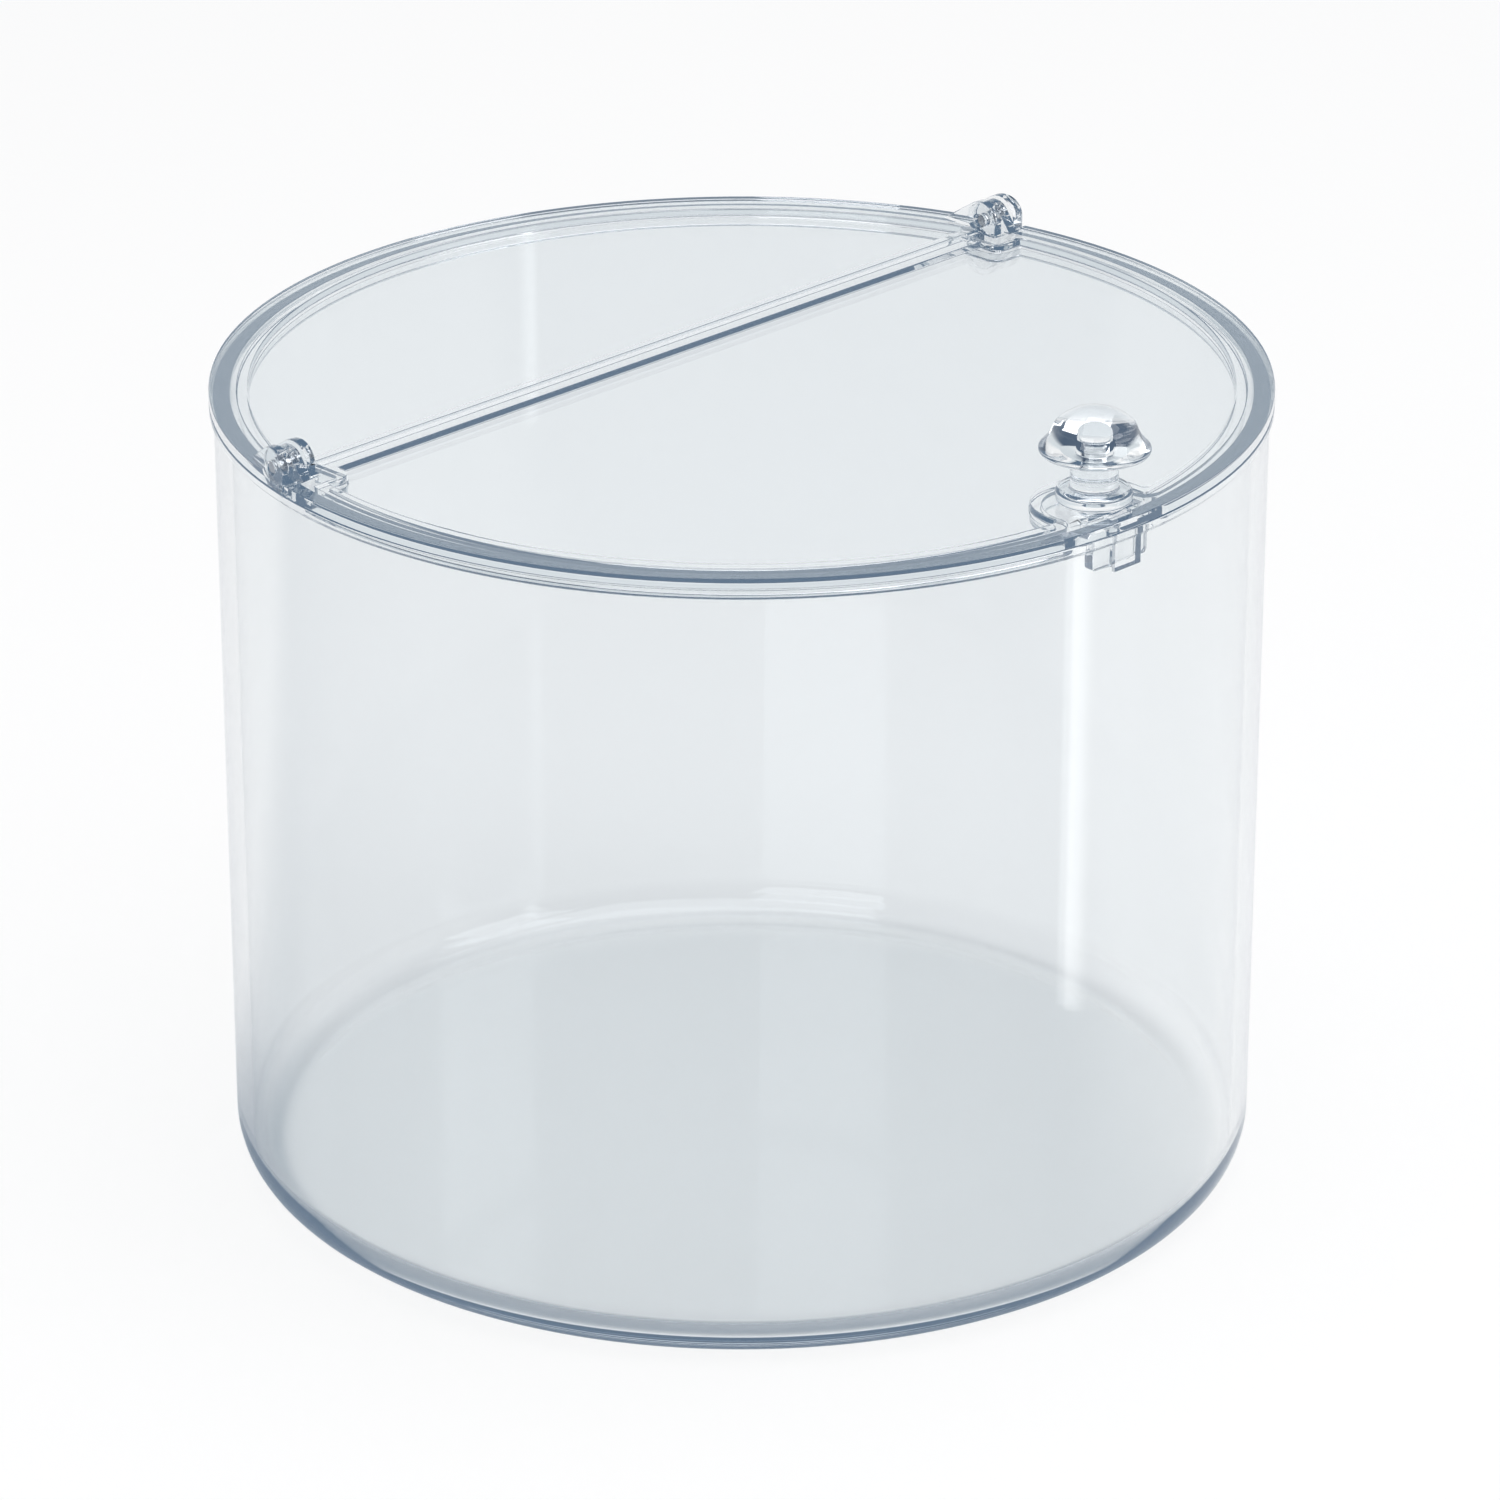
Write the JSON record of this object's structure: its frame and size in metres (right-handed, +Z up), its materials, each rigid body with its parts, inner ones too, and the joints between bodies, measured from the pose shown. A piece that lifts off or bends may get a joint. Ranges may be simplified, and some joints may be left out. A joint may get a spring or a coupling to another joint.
{
  "type": "candy bin with hinged lid",
  "caption": "Round clear bin for sweets with a fixed rear cover, a hinged front flap with a mushroom knob, and an open inside reached by lifting the flap.",
  "frame": {"origin": "middle of the underside, on the surface that the bin stands on", "axes": "+Z up; the knob is towards -Y and the hinge line runs along X"},
  "size_m": [0.19, 0.19, 0.1672],
  "materials": {
    "tub": "clear moulded acrylic, polished",
    "rear_cover": "clear moulded acrylic, polished",
    "front_lid": "clear moulded acrylic, polished",
    "hinge_pins": "drawn stainless wire",
    "knob": "clear cast acrylic, polished"
  },
  "bodies": {
    "bin": {"tub": "tub", "rear_cover": "rear_cover", "hinge_pin_left": "hinge_pins", "hinge_pin_right": "hinge_pins"},
    "lid": {"front_lid": "front_lid", "knob_cap": "knob", "knob_stem": "knob", "knob_retainer": "knob"}
  },
  "joints": [
    {"name": "lid_hinge", "type": "hinge", "parent": "bin", "child": "lid", "pos_m": [0, 0.0223, 0.1517], "axis": [-1, 0, 0], "range_deg": [0, 170]}
  ]
}
